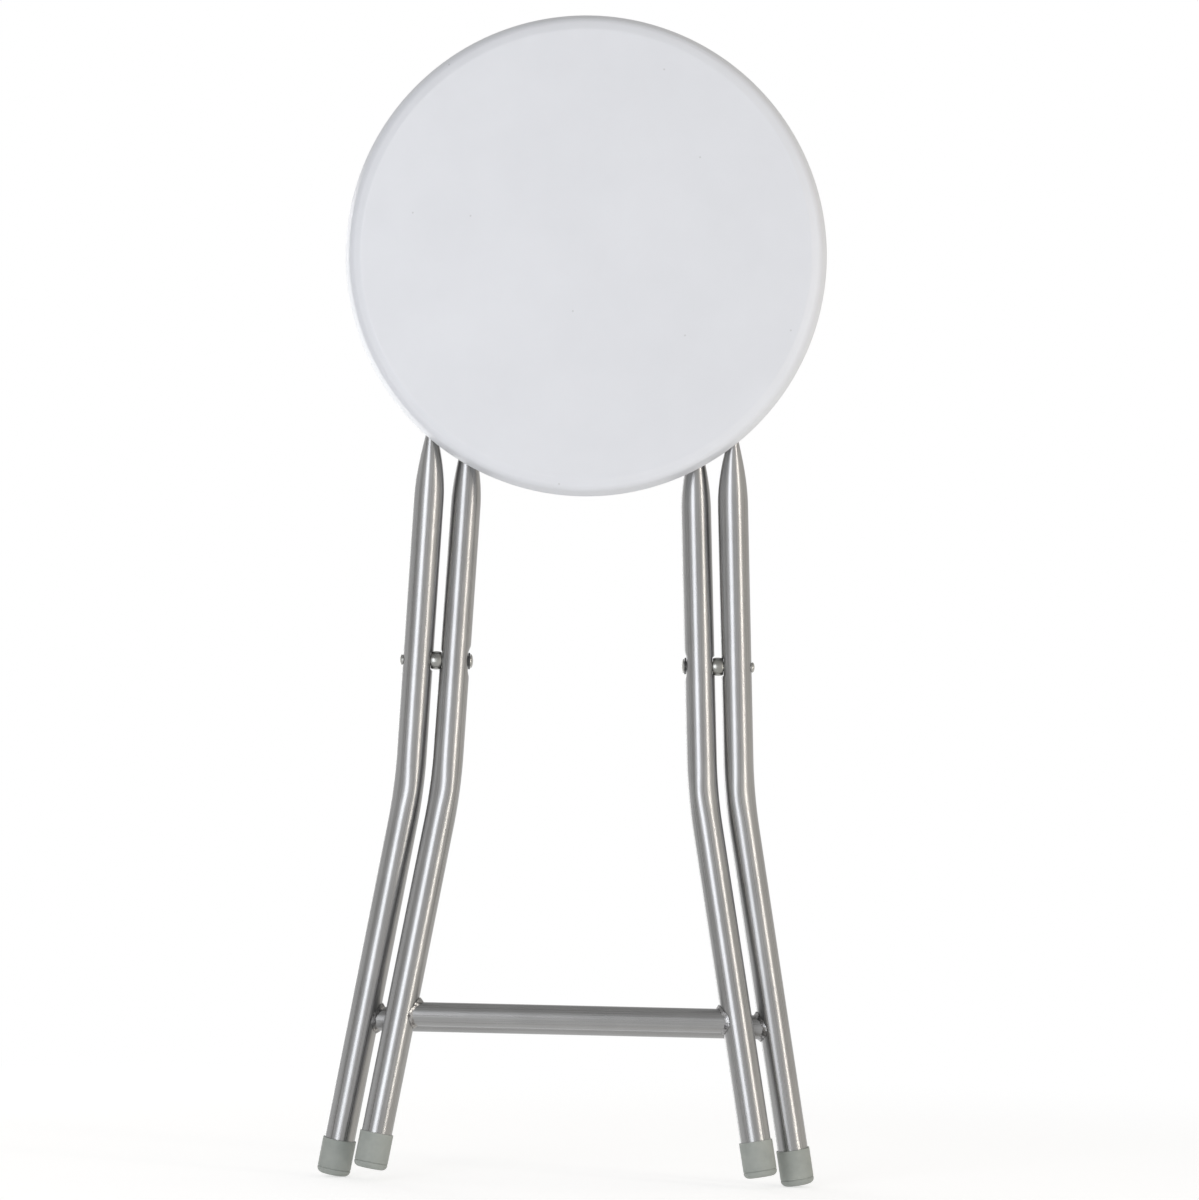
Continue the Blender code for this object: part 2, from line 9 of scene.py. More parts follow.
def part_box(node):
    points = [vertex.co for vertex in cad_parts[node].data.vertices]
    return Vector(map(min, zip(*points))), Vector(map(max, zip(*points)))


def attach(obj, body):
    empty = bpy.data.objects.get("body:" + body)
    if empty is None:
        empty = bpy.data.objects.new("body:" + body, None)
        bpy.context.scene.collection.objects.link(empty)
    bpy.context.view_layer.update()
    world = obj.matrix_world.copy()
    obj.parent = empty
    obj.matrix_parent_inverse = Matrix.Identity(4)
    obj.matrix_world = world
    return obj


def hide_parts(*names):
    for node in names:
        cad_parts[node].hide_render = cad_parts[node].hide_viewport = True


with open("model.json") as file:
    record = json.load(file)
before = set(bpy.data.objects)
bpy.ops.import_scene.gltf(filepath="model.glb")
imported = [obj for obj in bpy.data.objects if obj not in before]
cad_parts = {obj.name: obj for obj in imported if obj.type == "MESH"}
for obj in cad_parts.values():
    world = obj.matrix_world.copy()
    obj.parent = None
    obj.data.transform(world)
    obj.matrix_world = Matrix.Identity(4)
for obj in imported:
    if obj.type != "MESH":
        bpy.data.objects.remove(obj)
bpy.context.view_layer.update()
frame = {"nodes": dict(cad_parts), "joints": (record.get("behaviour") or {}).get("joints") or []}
print("frame loaded:", len(frame["nodes"]), "nodes")

sides = {"left": -1, "right": 1}
jointAt = {joint["name"]: Vector(joint["pos_m"]) for joint in frame["joints"]}
pivotAt = jointAt["outer_fold"]
hingeAt = jointAt["seat_fold"]
outerUp = (hingeAt - pivotAt).length
# folded, the two pairs of legs lean by this much, opposite ways
foldLean = math.atan2(pivotAt.y - hingeAt.y, hingeAt.z - pivotAt.z)
leanOut = Matrix.Rotation(foldLean, 4, "X")
leanIn = Matrix.Rotation(-foldLean, 4, "X")
outerPlace = Matrix.Translation(pivotAt) @ leanOut
innerPlace = Matrix.Translation(pivotAt) @ leanIn
seatPlace = Matrix.Translation(hingeAt) @ leanOut

# Settings that all pieces share
mergeDistance = 1e-6
sharpAngle = math.radians(38)
cornerSteps = 12


def linear(hexText):
    channels = [int(hexText[i:i + 2], 16) / 255 for i in (1, 3, 5)]
    return tuple(c / 12.92 if c <= 0.04045 else ((c + 0.055) / 1.055) ** 2.4 for c in channels) + (1.0,)


def addNode(owner, kind, settings=None, sockets=None, stops=()):
    # sockets take a value or a link; stops are the places and colours of a ramp
    tree = owner.node_tree
    node = tree.nodes.new(kind)
    for name, value in (settings or {}).items():
        setattr(node, name, value)
    for name, value in (sockets or {}).items():
        if isinstance(value, bpy.types.NodeSocket):
            tree.links.new(value, node.inputs[name])
        else:
            node.inputs[name].default_value = value
    if stops:
        elements = node.color_ramp.elements
        while len(elements) < len(stops):
            elements.new(1.0)
        for element, (place, hexText) in zip(elements, stops):
            element.position = place
            element.color = linear(hexText)
    return node


def newMaterial(name):
    material = bpy.data.materials.new(name)
    material.use_nodes = True
    return material


def joinSurface(material, colour, rough, bump, plain):
    # colour is a socket, rough and bump are nodes; plain values go on the shader's own sockets
    tree = material.node_tree
    surface = tree.nodes["Principled BSDF"]
    tree.links.new(colour, surface.inputs["Base Color"])
    tree.links.new(rough.outputs["Result"], surface.inputs["Roughness"])
    tree.links.new(bump.outputs["Normal"], surface.inputs["Normal"])
    for name, value in plain.items():
        surface.inputs[name].default_value = value
    return material


def perMetre(millimetres):
    return 1000.0 / millimetres


# Satin silver coat on drawn steel tube: grey metal, two soft highlights, fine lines along the tube.
# The draw lines are about 0.2 mm wide in life and are drawn at 0.8 mm so that they show.
def makeSilverTube():
    size = {"lineWidth": 0.8, "lineLength": 150.0, "cloud": 28.0, "flake": 0.35}
    material = newMaterial("silverTube")
    skin = addNode(material, "ShaderNodeUVMap", {"uv_map": "skin"})
    lines = addNode(material, "ShaderNodeMapping", {}, {
        "Vector": skin.outputs["UV"],
        "Scale": (perMetre(size["lineLength"]), perMetre(size["lineWidth"]), 1.0),
    })
    drawn = addNode(material, "ShaderNodeTexNoise", {}, {
        "Vector": lines.outputs["Vector"], "Scale": 1.0, "Detail": 3.0, "Roughness": 0.55,
    })
    place = addNode(material, "ShaderNodeTexCoord")
    cloud = addNode(material, "ShaderNodeTexNoise", {}, {
        "Vector": place.outputs["Object"], "Scale": perMetre(size["cloud"]), "Detail": 2.0,
    })
    flake = addNode(material, "ShaderNodeTexNoise", {}, {
        "Vector": place.outputs["Object"], "Scale": perMetre(size["flake"]), "Detail": 1.0,
    })
    tone = addNode(material, "ShaderNodeMix", {"data_type": "FLOAT"}, {
        "Factor": 0.28, "A": drawn.outputs["Fac"], "B": cloud.outputs["Fac"],
    })
    grey = addNode(material, "ShaderNodeValToRGB", {}, {"Fac": tone.outputs["Result"]}, [
        (0.30, "#929292"), (0.52, "#9e9e9e"), (0.72, "#aaaaaa"),
    ])
    rough = addNode(material, "ShaderNodeMapRange", {}, {
        "Value": drawn.outputs["Fac"], "From Min": 0.3, "From Max": 0.7, "To Min": 0.25, "To Max": 0.33,
    })
    lift = addNode(material, "ShaderNodeMix", {"data_type": "FLOAT"}, {
        "Factor": 0.12, "A": drawn.outputs["Fac"], "B": flake.outputs["Fac"],
    })
    bump = addNode(material, "ShaderNodeBump", {}, {
        "Strength": 0.22, "Distance": 0.00006, "Height": lift.outputs["Result"],
    })
    return joinSurface(material, grey.outputs["Color"], rough, bump, {"Metallic": 0.88})


# Satin white lacquer rolled onto fibreboard: nearly even, a very fine orange peel and a few dust nibs.
def makeWhiteLacquer():
    size = {"peel": 1.6, "cloud": 70.0, "nibSpacing": 95.0, "nib": 0.35, "nibFade": 2.2}
    material = newMaterial("whiteLacquer")
    place = addNode(material, "ShaderNodeTexCoord")
    cloud = addNode(material, "ShaderNodeTexNoise", {}, {
        "Vector": place.outputs["Object"], "Scale": perMetre(size["cloud"]),
        "Detail": 3.0, "Roughness": 0.6,
    })
    white = addNode(material, "ShaderNodeValToRGB", {}, {"Fac": cloud.outputs["Fac"]}, [
        (0.30, "#dadce1"), (0.70, "#dee0e5"),
    ])
    upright = addNode(material, "ShaderNodeMapping", {}, {
        "Vector": place.outputs["Object"], "Rotation": (math.pi / 2, 0, 0),
    })
    nibs = addNode(material, "ShaderNodeTexVoronoi", {"voronoi_dimensions": "2D"}, {
        "Vector": upright.outputs["Vector"], "Scale": perMetre(size["nibSpacing"]), "Randomness": 1.0,
    })
    nibEdge = size["nib"] / size["nibSpacing"]
    speck = addNode(material, "ShaderNodeMapRange", {}, {
        "Value": nibs.outputs["Distance"], "From Min": nibEdge, "From Max": size["nibFade"] * nibEdge,
        "To Min": 0.6, "To Max": 0.0,
    })
    colour = addNode(material, "ShaderNodeMix", {"data_type": "RGBA"}, {
        "Factor": speck.outputs["Result"], 6: white.outputs["Color"], 7: linear("#b9bbbd"),
    })
    peel = addNode(material, "ShaderNodeTexNoise", {}, {
        "Vector": place.outputs["Object"], "Scale": perMetre(size["peel"]), "Detail": 1.0,
    })
    rough = addNode(material, "ShaderNodeMapRange", {}, {
        "Value": cloud.outputs["Fac"], "From Min": 0.3, "From Max": 0.7, "To Min": 0.34, "To Max": 0.40,
    })
    bump = addNode(material, "ShaderNodeBump", {}, {
        "Strength": 0.25, "Distance": 0.00004, "Height": peel.outputs["Fac"],
    })
    return joinSurface(material, colour.outputs[2], rough, bump, {"IOR": 1.5})


# Moulded grey PVC: matte, slightly greenish, cloudy, with a fine spark-eroded grain.
def makeGreyPvc():
    size = {"grain": 0.5, "cloud": 9.0}
    material = newMaterial("greyPvc")
    place = addNode(material, "ShaderNodeTexCoord")
    cloud = addNode(material, "ShaderNodeTexNoise", {}, {
        "Vector": place.outputs["Object"], "Scale": perMetre(size["cloud"]),
        "Detail": 4.0, "Roughness": 0.6,
    })
    grey = addNode(material, "ShaderNodeValToRGB", {}, {"Fac": cloud.outputs["Fac"]}, [
        (0.30, "#959a95"), (0.55, "#9ea29d"), (0.75, "#a5a9a3"),
    ])
    grain = addNode(material, "ShaderNodeTexNoise", {}, {
        "Vector": place.outputs["Object"], "Scale": perMetre(size["grain"]), "Detail": 1.0,
    })
    rough = addNode(material, "ShaderNodeMapRange", {}, {
        "Value": cloud.outputs["Fac"], "From Min": 0.3, "From Max": 0.7, "To Min": 0.52, "To Max": 0.64,
    })
    bump = addNode(material, "ShaderNodeBump", {}, {
        "Strength": 0.4, "Distance": 0.00006, "Height": grain.outputs["Fac"],
    })
    return joinSurface(material, grey.outputs["Color"], rough, bump, {"IOR": 1.53})


# Zinc plate on small turned steel: slightly cloudy metal, pale on the rivets. The spacers get a slightly
# rougher copy whose darker colour is painted shade from the legs either side.
def makeZinc(name, low, high, roughness):
    size = {"cloud": 6.0, "grain": 0.4}
    material = newMaterial(name)
    place = addNode(material, "ShaderNodeTexCoord")
    cloud = addNode(material, "ShaderNodeTexNoise", {}, {
        "Vector": place.outputs["Object"], "Scale": perMetre(size["cloud"]), "Detail": 2.0,
    })
    zinc = addNode(material, "ShaderNodeValToRGB", {}, {"Fac": cloud.outputs["Fac"]}, [
        (0.30, low), (0.70, high),
    ])
    grain = addNode(material, "ShaderNodeTexNoise", {}, {
        "Vector": place.outputs["Object"], "Scale": perMetre(size["grain"]), "Detail": 1.0,
    })
    rough = addNode(material, "ShaderNodeMapRange", {}, {
        "Value": cloud.outputs["Fac"], "From Min": 0.3, "From Max": 0.7,
        "To Min": roughness, "To Max": roughness + 0.08,
    })
    bump = addNode(material, "ShaderNodeBump", {}, {
        "Strength": 0.2, "Distance": 0.00002, "Height": grain.outputs["Fac"],
    })
    return joinSurface(material, zinc.outputs["Color"], rough, bump, {"Metallic": 1.0})


# Arc weld under the same silver coat: shiny and lumpy, mottled darker at random; the dark mottling is partly
# soot and partly painted shade of the small hollows.
def makeWeldMetal():
    size = {"lump": 1.8, "soot": 3.0}
    material = newMaterial("weldMetal")
    place = addNode(material, "ShaderNodeTexCoord")
    soot = addNode(material, "ShaderNodeTexNoise", {}, {
        "Vector": place.outputs["Object"], "Scale": perMetre(size["soot"]),
        "Detail": 4.0, "Roughness": 0.65,
    })
    # dark flecks: soot together with painted shade of the bead's hollows and lumps
    tone = addNode(material, "ShaderNodeValToRGB", {}, {"Fac": soot.outputs["Fac"]}, [
        (0.34, "#464447"), (0.45, "#8b8a8a"), (0.66, "#b8b8b8"),
    ])
    lump = addNode(material, "ShaderNodeTexNoise", {}, {
        "Vector": place.outputs["Object"], "Scale": perMetre(size["lump"]), "Detail": 2.0,
    })
    rough = addNode(material, "ShaderNodeMapRange", {}, {
        "Value": soot.outputs["Fac"], "From Min": 0.35, "From Max": 0.7, "To Min": 0.42, "To Max": 0.18,
    })
    bump = addNode(material, "ShaderNodeBump", {}, {
        "Strength": 0.6, "Distance": 0.0003, "Height": lump.outputs["Fac"],
    })
    return joinSurface(material, tone.outputs["Color"], rough, bump, {"Metallic": 1.0})


# Moulded black nylon: dark, a soft sheen and a fine mould grain.
def makeBlackNylon():
    size = {"grain": 0.4, "cloud": 4.0}
    material = newMaterial("blackNylon")
    place = addNode(material, "ShaderNodeTexCoord")
    cloud = addNode(material, "ShaderNodeTexNoise", {}, {
        "Vector": place.outputs["Object"], "Scale": perMetre(size["cloud"]), "Detail": 2.0,
    })
    black = addNode(material, "ShaderNodeValToRGB", {}, {"Fac": cloud.outputs["Fac"]}, [
        (0.30, "#1b1b1c"), (0.70, "#282829"),
    ])
    grain = addNode(material, "ShaderNodeTexNoise", {}, {
        "Vector": place.outputs["Object"], "Scale": perMetre(size["grain"]), "Detail": 1.0,
    })
    rough = addNode(material, "ShaderNodeMapRange", {}, {
        "Value": cloud.outputs["Fac"], "From Min": 0.3, "From Max": 0.7, "To Min": 0.42, "To Max": 0.55,
    })
    bump = addNode(material, "ShaderNodeBump", {}, {
        "Strength": 0.3, "Distance": 0.00005, "Height": grain.outputs["Fac"],
    })
    return joinSurface(material, black.outputs["Color"], rough, bump, {"IOR": 1.53})


# Silver coat on pressed steel sheet: a little duller than the tube, with faint drag along the rail.
def makePressedSheet():
    size = {"drag": 1.2, "dragLength": 40.0, "cloud": 16.0}
    material = newMaterial("pressedSheet")
    place = addNode(material, "ShaderNodeTexCoord")
    along = addNode(material, "ShaderNodeMapping", {}, {
        "Vector": place.outputs["Object"],
        "Scale": (perMetre(size["drag"]), perMetre(size["drag"]), perMetre(size["dragLength"])),
    })
    drag = addNode(material, "ShaderNodeTexNoise", {}, {
        "Vector": along.outputs["Vector"], "Scale": 1.0, "Detail": 3.0,
    })
    cloud = addNode(material, "ShaderNodeTexNoise", {}, {
        "Vector": place.outputs["Object"], "Scale": perMetre(size["cloud"]), "Detail": 2.0,
    })
    tone = addNode(material, "ShaderNodeMix", {"data_type": "FLOAT"}, {
        "Factor": 0.45, "A": drag.outputs["Fac"], "B": cloud.outputs["Fac"],
    })
    grey = addNode(material, "ShaderNodeValToRGB", {}, {"Fac": tone.outputs["Result"]}, [
        (0.30, "#8d8d8b"), (0.70, "#a2a2a0"),
    ])
    rough = addNode(material, "ShaderNodeMapRange", {}, {
        "Value": drag.outputs["Fac"], "From Min": 0.3, "From Max": 0.7, "To Min": 0.38, "To Max": 0.50,
    })
    bump = addNode(material, "ShaderNodeBump", {}, {
        "Strength": 0.3, "Distance": 0.00006, "Height": drag.outputs["Fac"],
    })
    return joinSurface(material, grey.outputs["Color"], rough, bump, {"Metallic": 1.0})


silverTube = makeSilverTube()
whiteLacquer = makeWhiteLacquer()
greyPvc = makeGreyPvc()
brightZinc = makeZinc("brightZinc", "#a9a9a7", "#b6b6b3", 0.22)
# the spacers' zinc is darker by painted shade from the legs either side of them
dullZinc = makeZinc("dullZinc", "#979793", "#a6a6a2", 0.24)
weldMetal = makeWeldMetal()
blackNylon = makeBlackNylon()
pressedSheet = makePressedSheet()
print("materials ready")


def makePiece(name, bm, material, body, node=None):
    bmesh.ops.recalc_face_normals(bm, faces=bm.faces)
    if bm.calc_volume(signed=True) < 0:
        bmesh.ops.reverse_faces(bm, faces=bm.faces)
    mesh = bpy.data.meshes.new(name)
    bm.to_mesh(mesh)
    bm.free()
    mesh.materials.append(material)
    mesh.shade_smooth()
    mesh.set_sharp_from_angle(angle=sharpAngle)
    piece = bpy.data.objects.new(name, mesh)
    bpy.context.scene.collection.objects.link(piece)
    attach(piece, body)
    if node:
        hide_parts(node)
    return piece


def cutAway(piece, cutter):
    # take the closed shapes of a bmesh out of a piece, and keep the result as its mesh
    bmesh.ops.recalc_face_normals(cutter, faces=cutter.faces)
    mesh = bpy.data.meshes.new("cutter")
    cutter.to_mesh(mesh)
    cutter.free()
    tool = bpy.data.objects.new("cutter", mesh)
    bpy.context.scene.collection.objects.link(tool)
    boolean = piece.modifiers.new("cut", "BOOLEAN")
    boolean.operation = "DIFFERENCE"
    boolean.solver = "EXACT"
    boolean.object = tool
    bpy.context.view_layer.update()
    solid = piece.evaluated_get(bpy.context.evaluated_depsgraph_get())
    result = bpy.data.meshes.new_from_object(solid)
    piece.modifiers.clear()
    old = piece.data
    piece.data = result
    bpy.data.meshes.remove(old)
    bpy.data.objects.remove(tool)
    bm = bmesh.new()
    bm.from_mesh(result)
    bmesh.ops.dissolve_degenerate(bm, edges=bm.edges, dist=mergeDistance)
    bm.to_mesh(result)
    bm.free()
    result.name = piece.name
    result.shade_smooth()
    result.set_sharp_from_angle(angle=sharpAngle)


def turnProfile(points, steps):
    # points are radius, height and corner rounding in metres; the profile is rounded, then spun about Z
    bm = bmesh.new()
    verts = [bm.verts.new((radius, 0, height)) for radius, height, rounding in points]
    edges = [bm.edges.new(pair) for pair in zip(verts, verts[1:])]
    if points[0][0] > 0 and points[-1][0] > 0:
        edges.append(bm.edges.new((verts[-1], verts[0])))
    for vert, (radius, height, rounding) in zip(verts, points):
        if rounding:
            bmesh.ops.bevel(
                bm, geom=[vert], offset=rounding, offset_type="OFFSET", segments=cornerSteps,
                profile=0.5, affect="VERTICES", material=-1,
            )
    bmesh.ops.spin(
        bm, geom=bm.verts[:] + bm.edges[:], cent=(0, 0, 0), axis=(0, 0, 1),
        angle=2 * math.pi, steps=steps, use_merge=True,
    )
    bmesh.ops.remove_doubles(bm, verts=bm.verts, dist=mergeDistance)
    return bm


def rollTube(rows, around, surface):
    # a flat sheet rolled to a tube: surface gives place and run along the skin for each row and share
    bm = bmesh.new()
    uv = bm.loops.layers.uv.new("skin")
    bmesh.ops.create_grid(bm, x_segments=rows, y_segments=around, size=0.5)
    for face in bm.faces:
        for loop in face.loops:
            loop[uv].uv = surface(loop.vert.co.x + 0.5, loop.vert.co.y + 0.5)[1]
    for vert in bm.verts:
        vert.co = surface(vert.co.x + 0.5, vert.co.y + 0.5)[0]
    bmesh.ops.remove_doubles(bm, verts=bm.verts, dist=mergeDistance)
    bmesh.ops.holes_fill(bm, edges=[edge for edge in bm.edges if edge.is_boundary], sides=0)
    return bm


# Seat board: one disc, its top sloping off from a faint crease, its side drawn in a little towards the top
seatBoard = {
    "radius": 0.14985, "thickness": 0.018, "creaseIn": 0.0100, "creaseRound": 0.0008,
    "slopeIn": 0.0034, "slopeDrop": 0.0021, "slopeRound": 0.0030,
    "sideLow": 0.0036, "underRound": 0.003, "steps": 192,
}


def makeSeatBoard():
    s = seatBoard
    bm = turnProfile([
        (0.0, s["thickness"], 0),
        (s["radius"] - s["creaseIn"], s["thickness"], s["creaseRound"]),
        (s["radius"] - s["slopeIn"], s["thickness"] - s["slopeDrop"], s["slopeRound"]),
        (s["radius"], s["sideLow"], 0),
        (s["radius"], 0.0, s["underRound"]),
        (0.0, 0.0, 0),
    ], s["steps"])
    low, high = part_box("seat_board")
    centre = (low + high) / 2
    back = centre + leanOut @ Vector((0, s["thickness"] / 2, 0))
    bm.transform(Matrix.Translation(back) @ leanOut @ Matrix.Rotation(math.pi / 2, 4, "X"))
    makePiece("seatBoard", bm, whiteLacquer, "seat", "seat_board")


makeSeatBoard()
print("seat board made")

# Legs: sizes in the plane of each pair, metres and radians; dimples are pressed in round the pivot
leg = {
    "tube": 0.0095, "upperSplay": math.radians(2.5), "lowerSplay": math.radians(9.9), "footGap": 0.0032,
    "bendDrop": 0.080, "bendRadius": 0.340, "bendSet": 0.0010, "bendSpread": 0.011,
    "pressLength": 0.050, "pressPower": 1.25, "tongueBelowHole": 0.0165, "tongueHalf": 0.0014,
    "tongueTurn": math.radians(84),
    "spacerFlat": 0.0052, "spacerReach": 0.0064, "headFlat": 0.0048, "headReach": 0.0115, "wallEase": 1e-4,
    "pinHole": 0.0032, "holeDepth": 0.03, "holeSteps": 32, "around": 48,
}
legSteps = {
    "foot": 10, "bend": 28, "belowPivot": 8, "pivot": 44, "abovePivot": 9,
    "press": 22, "tongue": 4, "tongueEnd": 14,
}
pairs = {
    "outer": {
        "half": 0.0998, "up": outerUp, "down": 0.323023, "place": outerPlace, "body": "outer_legs",
        "outDimple": 0.0, "inDimple": 0.0016, "inSeat": "spacer",
        "barDrop": 0.225199, "topHole": 0.0032,
    },
    "inner": {
        "half": 0.0767, "up": 0.1634, "down": 0.317, "place": innerPlace, "body": "inner_legs",
        "outDimple": 0.0016, "outSeat": "spacer", "inDimple": 0.0013, "inSeat": "head",
        "barDrop": 0.221, "topHole": 0.0043,
    },
}


def legLowX(pair, drop):
    knee = pair["half"] + leg["bendDrop"] * math.tan(leg["upperSplay"])
    return knee + (drop - leg["bendDrop"]) * math.tan(leg["lowerSplay"])


def pressStart(pair):
    return pair["up"] - leg["tongueBelowHole"] - leg["pressLength"]


def legTopX(pair):
    return pair["half"] - math.tan(leg["upperSplay"]) * (pressStart(pair) + leg["pressLength"] / 2)


def slotHalf(thick):
    # half the width of the tube when it is pressed to this half thickness
    return thick + math.pi * (leg["tube"] - thick) / 2


def spread(first, last, count):
    return [first + (last - first) * i / count for i in range(count)]


def legRows(pair):
    # rows from the foot up: centre x and z, lean, half thickness, half width
    r, upper, lower = leg["tube"], leg["upperSplay"], leg["lowerSplay"]
    steps = legSteps
    rows = []
    tangent = leg["bendRadius"] * math.tan((lower - upper) / 2)
    bendLow = -leg["bendDrop"] - tangent * math.cos(lower)
    for z in spread(leg["footGap"] - pair["down"], bendLow, steps["foot"]):
        rows.append((legLowX(pair, -z), z, lower, r, r))

    centreX = legLowX(pair, -bendLow) + leg["bendRadius"] * math.cos(lower)
    centreZ = bendLow + leg["bendRadius"] * math.sin(lower)
    for lean in spread(lower, upper, steps["bend"]):
        x = centreX - leg["bendRadius"] * math.cos(lean)
        rows.append((x, centreZ - leg["bendRadius"] * math.sin(lean), lean, r, r))

    bendHigh = centreZ - leg["bendRadius"] * math.sin(upper)
    reach = leg["headReach"]
    pressLow = pressStart(pair)
    heights = spread(bendHigh, -reach, steps["belowPivot"])
    heights += spread(-reach, reach, steps["pivot"])
    heights += spread(reach, pressLow, steps["abovePivot"])
    for z in heights:
        rows.append((pair["half"] - z * math.tan(upper), z, upper, r, r))

    startX = pair["half"] - pressLow * math.tan(upper)
    for share in spread(0.0, 1.0, steps["press"]):
        x = startX - math.tan(upper) * leg["pressLength"] * (share - share ** 2 / 2)
        thick = r - (r - leg["tongueHalf"]) * (1 - (1 - share ** 2) ** leg["pressPower"])
        z = pressLow + leg["pressLength"] * share
        rows.append((x, z, upper * (1 - share), thick, slotHalf(thick)))

    topX, thick = legTopX(pair), leg["tongueHalf"]
    wide = slotHalf(thick)
    for z in spread(pair["up"] - leg["tongueBelowHole"], pair["up"], steps["tongue"]):
        rows.append((topX, z, 0.0, thick, wide))
    for turn in spread(0.0, leg["tongueTurn"], steps["tongueEnd"]):
        narrow = max(wide * math.cos(turn), thick)
        rows.append((topX, pair["up"] + wide * math.sin(turn), 0.0, thick, narrow))
    return rows


def slotPoint(share, thick, wide):
    # a tube pressed to a slot shape, by its share of the way round
    straight, bow = 2 * (wide - thick), math.pi * thick
    way = (share * 2 * (straight + bow) + straight / 2) % (2 * (straight + bow))
    mirror = 1
    if way >= straight + bow:
        way, mirror = way - straight - bow, -1
    turn = max(way - straight, 0.0) / thick
    depth = min(way, straight) - straight / 2 + thick * math.sin(turn)
    return mirror * thick * math.cos(turn), mirror * depth


def pressedIn(z, kind):
    # share of a dimple's depth at a height from the pivot: flat in the middle, then a soft way out
    flat, reach = leg[kind + "Flat"], leg[kind + "Reach"]
    fade = min(max((abs(z) - flat) / (reach - flat), 0.0), 1.0)
    return 0.5 + 0.5 * math.cos(math.pi * fade)


def makeLeg(pairName, sideName):
    pair, side = pairs[pairName], sides[sideName]
    rows = legRows(pair)
    runs = [0.0]
    for before, after in zip(rows, rows[1:]):
        runs.append(runs[-1] + math.hypot(after[0] - before[0], after[1] - before[1]))
    last, r, ease = len(rows) - 1, leg["tube"], leg["wallEase"]

    def surface(along, share):
        index = round(along * last)
        x, z, lean, thick, wide = rows[index]
        across, depth = slotPoint(share, thick, wide)
        # the bending tool drags the front and the back of the wall towards the inside of the stool
        drag = leg["bendSet"] * math.exp(-((z + leg["bendDrop"]) / leg["bendSpread"]) ** 2)
        spotX = x + across * math.cos(lean) - drag * (1 - (across / r) ** 2)
        if pair["outDimple"]:
            pressed = pressedIn(z, pair["outSeat"])
            spotX = min(spotX, x + r + ease + pressed * (pair["half"] - pair["outDimple"] - x - ease))
        pressed = pressedIn(z, pair["inSeat"])
        spotX = max(spotX, x - r - ease + pressed * (pair["half"] + pair["inDimple"] - x + ease))
        spot = Vector((side * spotX, depth, z + across * math.sin(lean)))
        return spot, (runs[index], share * 2 * math.pi * r)

    bm = rollTube(last, leg["around"], surface)
    bm.transform(pair["place"])
    name = pairName + "Leg" + sideName.capitalize()
    piece = makePiece(name, bm, silverTube, pair["body"], pairName + "_leg_" + sideName)

    holes = bmesh.new()
    pivotHole = (pair["half"], 0.0, leg["pinHole"])
    topHole = (legTopX(pair), pair["up"], pair["topHole"])
    for x, z, radius in (pivotHole, topHole):
        turn = Matrix.Translation((side * x, 0, z)) @ Matrix.Rotation(math.pi / 2, 4, "Y")
        bmesh.ops.create_cone(
            holes, cap_ends=True, segments=leg["holeSteps"], radius1=radius, radius2=radius,
            depth=leg["holeDepth"], matrix=pair["place"] @ turn,
        )
    cutAway(piece, holes)


for pairName in pairs:
    for sideName in sides:
        makeLeg(pairName, sideName)
print("legs made")

# Crossbars: round tube, its ends shaped to the legs
crossbar = {"radius": 0.0075, "gap": 0.0003, "rows": 40, "around": 48}


def saddleX(pair, y, z):
    reach = leg["tube"] + crossbar["gap"]
    return legLowX(pair, -z) - math.sqrt(max(reach ** 2 - y ** 2, 0.0)) / math.cos(leg["lowerSplay"])


def makeCrossbar(pairName):
    pair = pairs[pairName]
    r = crossbar["radius"]

    def surface(along, share):
        turn = 2 * math.pi * share
        y, z = r * math.cos(turn), r * math.sin(turn) - pair["barDrop"]
        x = (2 * along - 1) * saddleX(pair, y, z)
        return Vector((x, y, z)), (x, turn * r)

    bm = rollTube(crossbar["rows"], crossbar["around"], surface)
    bm.transform(pair["place"])
    makePiece(pairName + "Crossbar", bm, silverTube, pair["body"], pairName + "_crossbar")


# Weld beads: an uneven fillet round each end of a crossbar, largest on top where the wire was fed
weld = {
    "sideRun": 0.0014, "topRun": 0.0021, "bottomRun": 0.0019,
    "sideClimb": 0.0010, "topClimb": 0.0024, "bottomClimb": 0.0016,
    "sizePower": 3, "climbPower": 1.8, "root": 0.0005,
    "lump": 0.50, "lumpScale": 2.2, "fine": 0.7, "fineScale": 4.6, "fineRun": 0.8,
    "ripples": 17, "ripple": 0.03, "pairSeed": 7.3, "sideSeed": 3.1,
    "circle": 0.001, "around": 144, "section": 28,
}


def weldSize(kind, turn):
    # run along the bar or climb up the leg, larger on top and underneath than at the sides
    up = max(math.sin(turn), 0.0) ** weld["sizePower"]
    down = max(-math.sin(turn), 0.0) ** weld["sizePower"]
    atSide, atTop, atBottom = weld["side" + kind], weld["top" + kind], weld["bottom" + kind]
    return atSide + (atTop - atSide) * up + (atBottom - atSide) * down


def ringNoise(turn, scale, height):
    return noise.noise(Vector((scale * math.cos(turn), scale * math.sin(turn), height)))


